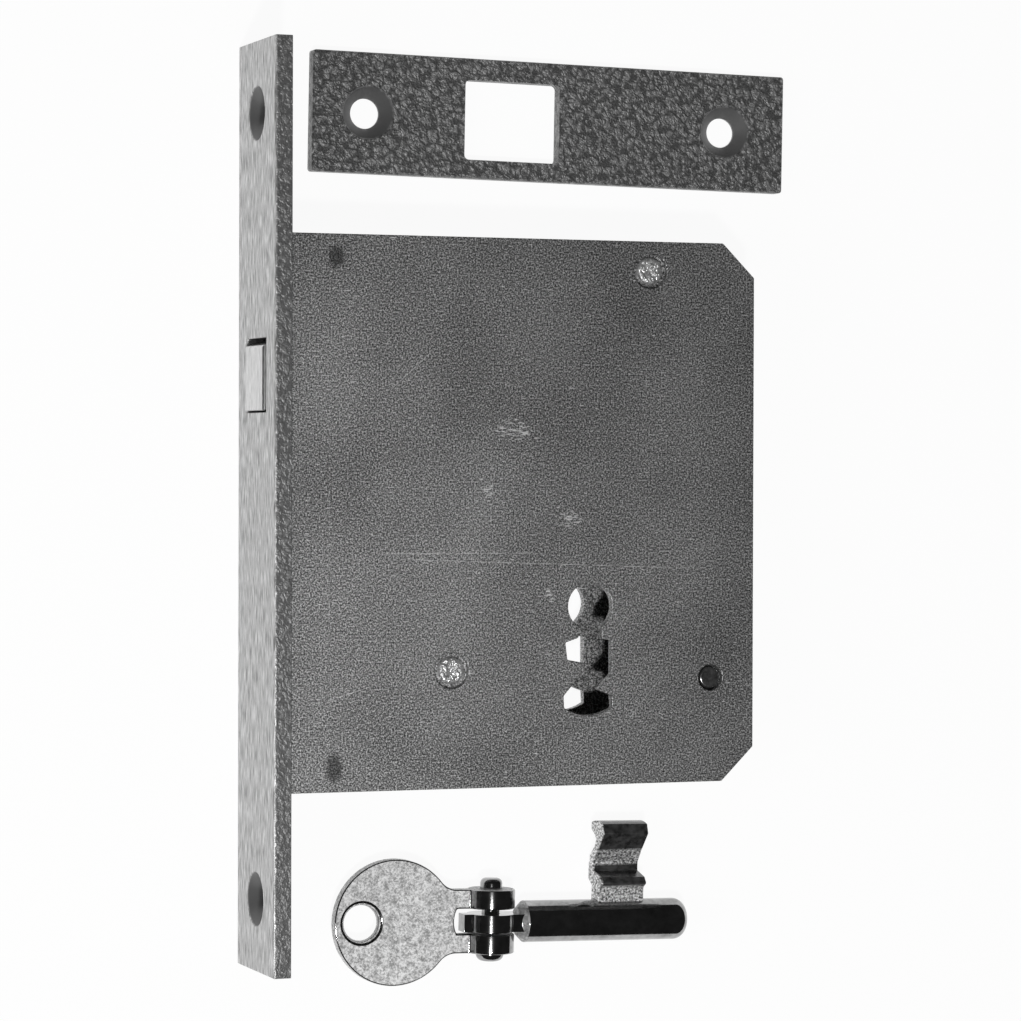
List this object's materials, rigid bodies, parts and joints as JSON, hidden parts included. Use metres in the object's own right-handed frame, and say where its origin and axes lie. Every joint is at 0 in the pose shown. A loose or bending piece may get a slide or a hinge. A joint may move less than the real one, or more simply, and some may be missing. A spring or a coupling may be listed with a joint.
{
  "type": "sliding door lock",
  "caption": "Mortise lock for a sliding door with a swinging hook bolt, a profiled key way, a strike plate and a folding key.",
  "frame": {"origin": "middle of the forend's two screw holes, on the forend's front face", "axes": "+X from the forend's front face into the case, +Y along the forend towards the bolt, +Z out of the case cover"},
  "size_m": [0.0974, 0.1547, 0.02],
  "materials": {
    "hammered_grey": "hammered",
    "case_steel": "dark, grained, scratched",
    "bright_zinc": "bright zinc plate",
    "inner_steel": "zinc plate",
    "bolt_steel": "plain ground steel",
    "pin_steel": "turned",
    "spring_steel": "blued",
    "nickel_bow": "speckled nickel plate",
    "dark_chrome": "glossy dark nickel",
    "rough_nickel": "cast, nickel plated"
  },
  "bodies": {
    "lock_case": {"forend": "hammered_grey", "case_tray": "case_steel", "case_cover": "case_steel", "cover_screws": "bright_zinc", "cover_pillars": "inner_steel", "forend_brackets": "inner_steel", "hook_pivot_post": "inner_steel", "hook_washers": "inner_steel", "guide_studs": "inner_steel", "guide_collars": "inner_steel", "tumbler_pin": "pin_steel", "tumbler_spacers": "inner_steel", "tumbler_spring": "spring_steel", "spring_peg": "inner_steel"},
    "slide": {"thrust_slide": "inner_steel", "drive_pin": "inner_steel", "tumbler_stump": "inner_steel"},
    "hook": {"hook_bolt": "bolt_steel"},
    "tumbler": {"tumbler_lever": "inner_steel"},
    "strike": {"strike_plate": "hammered_grey"},
    "key_stem": {"key_shank": "dark_chrome", "key_bit": "rough_nickel"},
    "key_handle": {"key_bow": "nickel_bow", "key_hinge_pin": "dark_chrome"}
  },
  "joints": [
    {"name": "bolt_throw", "type": "slide", "parent": "lock_case", "child": "slide", "axis": [-1, 0, 0], "range_m": [0, 0.01342]},
    {"name": "hook_swing", "type": "hinge", "parent": "lock_case", "child": "hook", "pos_m": [0.008, 0.00415, 0], "axis": [0, 0, 1], "range_deg": [0, 72.1]},
    {"name": "tumbler_lift", "type": "hinge", "parent": "lock_case", "child": "tumbler", "pos_m": [0.0772, -0.0286, 0], "axis": [0, 0, -1], "range_deg": [0, 4.6], "deforming": ["tumbler_spring"]},
    {"name": "strike_lift", "type": "slide", "parent": "lock_case", "child": "strike", "axis": [0, 0, 1], "range_m": [0, 0.05]},
    {"name": "key_lift", "type": "slide", "parent": "lock_case", "child": "key_stem", "axis": [0, 0, 1], "range_m": [0, 0.05]},
    {"name": "key_fold", "type": "hinge", "parent": "key_stem", "child": "key_handle", "pos_m": [0.04285, -0.06963, -0.00595], "axis": [0.0227, 0.9997, 0], "range_deg": [0, 90]}
  ],
  "couplings": [
    {"joint": "hook_swing", "follows": "bolt_throw", "rad_per_m": 93.581},
    {"joint": "tumbler_lift", "follows": "bolt_throw", "rad_per_m": 5.8488}
  ]
}
